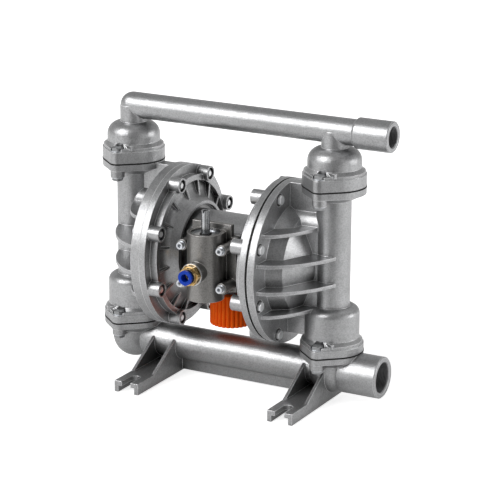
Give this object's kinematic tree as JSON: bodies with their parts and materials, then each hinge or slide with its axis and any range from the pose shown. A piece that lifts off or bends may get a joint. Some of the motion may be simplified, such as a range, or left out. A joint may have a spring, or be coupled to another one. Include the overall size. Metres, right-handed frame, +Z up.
{
  "type": "diaphragm pump",
  "caption": "Air operated diaphragm pump in cast aluminium: round chambers on each side of a spool air valve, ball valve columns, threaded ports and slotted feet.",
  "frame": {"origin": "middle of the four foot slots, on the floor", "axes": "+Z up, +X along the manifolds towards both ports, -Y towards the air valve"},
  "size_m": [0.4715, 0.2725, 0.4246],
  "materials": {
    "cast_aluminium": "satin",
    "machined_aluminium": "satin",
    "zinc_steel": "gloss",
    "bare_steel": "satin",
    "brass": "gloss",
    "bronze": "satin",
    "blue_plastic": "gloss",
    "orange_plastic": "satin",
    "black_rubber": "matte",
    "white_ptfe": "matte"
  },
  "bodies": {
    "casing": {"center_body": "cast_aluminium", "discharge_joint_bolts": "zinc_steel", "discharge_joint_nuts": "zinc_steel", "discharge_manifold": "cast_aluminium", "inlet_fitting": "brass", "left_air_chamber": "cast_aluminium", "left_chamber_bolts": "zinc_steel", "left_chamber_nuts": "zinc_steel", "left_diaphragm": "black_rubber", "left_discharge_gasket": "black_rubber", "left_discharge_seat": "white_ptfe", "left_fluid_chamber": "cast_aluminium", "left_hub_screws": "zinc_steel", "left_rod_bush": "bronze", "left_rod_seal": "black_rubber", "left_suction_gasket": "black_rubber", "left_suction_seat": "white_ptfe", "right_air_chamber": "cast_aluminium", "right_chamber_bolts": "zinc_steel", "right_chamber_nuts": "zinc_steel", "right_diaphragm": "black_rubber", "right_discharge_gasket": "black_rubber", "right_discharge_seat": "white_ptfe", "right_fluid_chamber": "cast_aluminium", "right_hub_screws": "zinc_steel", "right_rod_bush": "bronze", "right_rod_seal": "black_rubber", "right_suction_gasket": "black_rubber", "right_suction_seat": "white_ptfe", "silencer": "orange_plastic", "silencer_nipple": "zinc_steel", "suction_joint_bolts": "zinc_steel", "suction_joint_nuts": "zinc_steel", "suction_manifold": "cast_aluminium", "valve_body": "cast_aluminium", "valve_bottom_cap": "machined_aluminium", "valve_bottom_clip": "zinc_steel", "valve_gasket": "black_rubber", "valve_screws": "zinc_steel", "valve_sleeve": "bare_steel", "valve_top_cap": "machined_aluminium", "valve_top_clip": "zinc_steel"},
    "rod": {"diaphragm_rod": "bare_steel", "left_inner_plate": "machined_aluminium", "left_outer_plate": "machined_aluminium", "right_inner_plate": "machined_aluminium", "right_outer_plate": "machined_aluminium"},
    "spool": {"valve_spool": "machined_aluminium", "reset_stem": "bare_steel"},
    "collet": {"release_collet": "blue_plastic"},
    "left_pin": {"left_pilot_pin": "bare_steel"},
    "right_pin": {"right_pilot_pin": "bare_steel"},
    "left_discharge_valve": {"left_discharge_ball": "white_ptfe"},
    "left_suction_valve": {"left_suction_ball": "white_ptfe"},
    "right_discharge_valve": {"right_discharge_ball": "white_ptfe"},
    "right_suction_valve": {"right_suction_ball": "white_ptfe"}
  },
  "joints": [
    {"name": "rod_slide", "type": "slide", "parent": "casing", "child": "rod", "axis": [1, 0, 0], "range_m": [-0.012, 0.012], "deforming": ["left_diaphragm", "right_diaphragm"]},
    {"name": "spool_slide", "type": "slide", "parent": "casing", "child": "spool", "axis": [0, 0, 1], "range_m": [0, 0.008]},
    {"name": "collet_press", "type": "slide", "parent": "casing", "child": "collet", "axis": [0, 1, 0], "range_m": [0, 0.0015]},
    {"name": "left_pin_slide", "type": "slide", "parent": "casing", "child": "left_pin", "axis": [1, 0, 0], "range_m": [0, 0.004]},
    {"name": "right_pin_slide", "type": "slide", "parent": "casing", "child": "right_pin", "axis": [-1, 0, 0], "range_m": [0, 0.004]},
    {"name": "left_discharge_lift", "type": "slide", "parent": "casing", "child": "left_discharge_valve", "axis": [0, 0, 1], "range_m": [0, 0.008]},
    {"name": "left_suction_lift", "type": "slide", "parent": "casing", "child": "left_suction_valve", "axis": [0, 0, 1], "range_m": [0, 0.008]},
    {"name": "right_discharge_lift", "type": "slide", "parent": "casing", "child": "right_discharge_valve", "axis": [0, 0, 1], "range_m": [0, 0.008]},
    {"name": "right_suction_lift", "type": "slide", "parent": "casing", "child": "right_suction_valve", "axis": [0, 0, 1], "range_m": [0, 0.008]}
  ]
}
